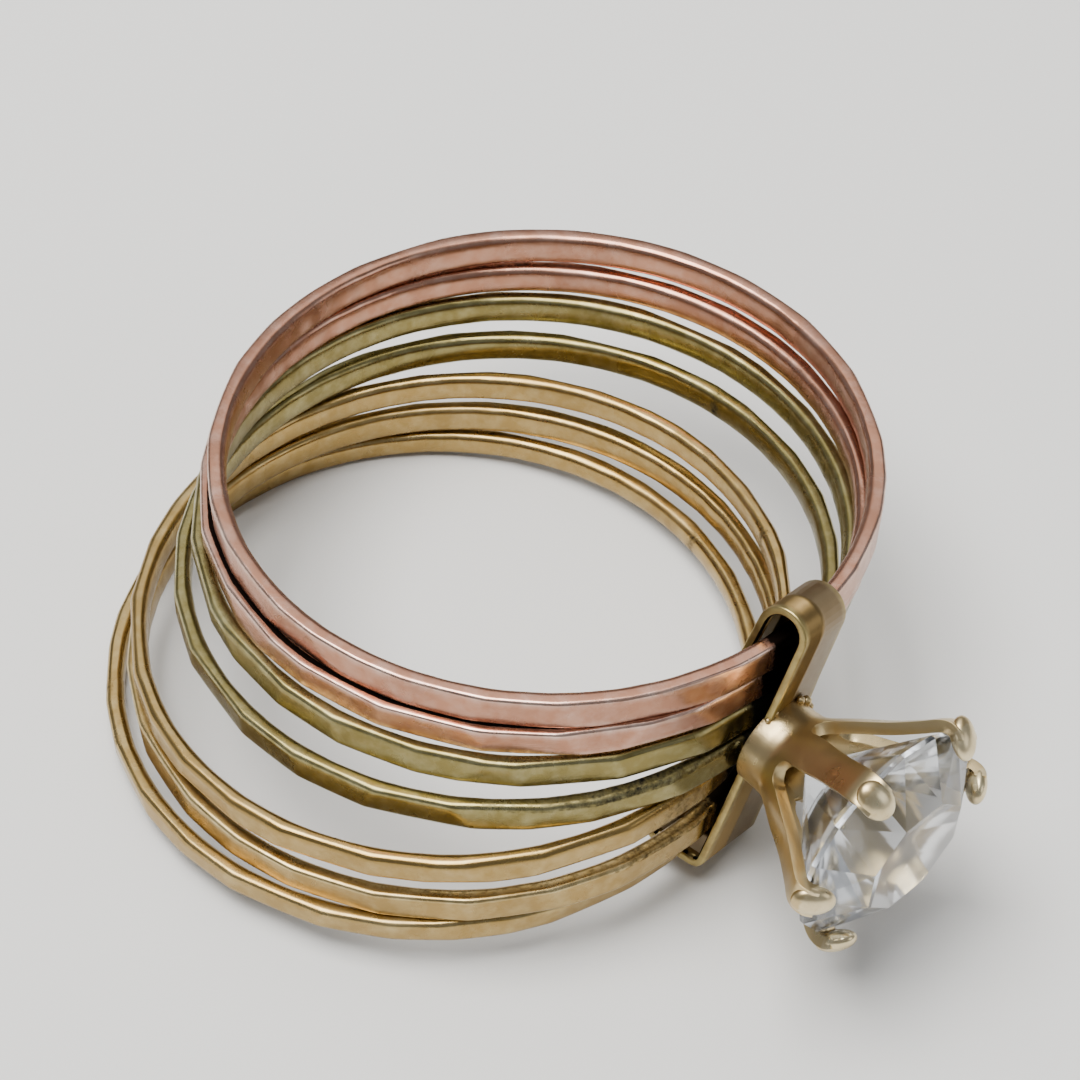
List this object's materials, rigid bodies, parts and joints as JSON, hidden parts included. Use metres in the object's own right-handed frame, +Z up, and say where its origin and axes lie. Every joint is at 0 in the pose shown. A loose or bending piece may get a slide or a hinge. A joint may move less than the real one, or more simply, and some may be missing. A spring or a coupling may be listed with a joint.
{
  "type": "stacked band ring",
  "caption": "Finger ring of loose hammered gold hoops threaded through a folded strap that carries a claw-set round stone; it lies on its side.",
  "frame": {"origin": "under the middle of the ring's box, on the surface that it lies on", "axes": "+Z up along the finger hole, +X from the finger hole towards the stone"},
  "size_m": [0.0246, 0.0226, 0.0092],
  "materials": {
    "rose_gold": "hammered, polished",
    "green_gold": "hammered, polished",
    "yellow_gold": "hammered, polished",
    "setting_gold": "polished, worn",
    "stone": "clear, faceted"
  },
  "bodies": {
    "root": {"band_rose_upper": "rose_gold", "band_rose_lower": "rose_gold", "band_green_upper": "green_gold", "band_green_lower": "green_gold", "band_yellow_upper": "yellow_gold", "band_yellow_middle": "yellow_gold", "band_yellow_lower": "yellow_gold", "slide_setting": "setting_gold", "stone": "stone"}
  },
  "joints": []
}
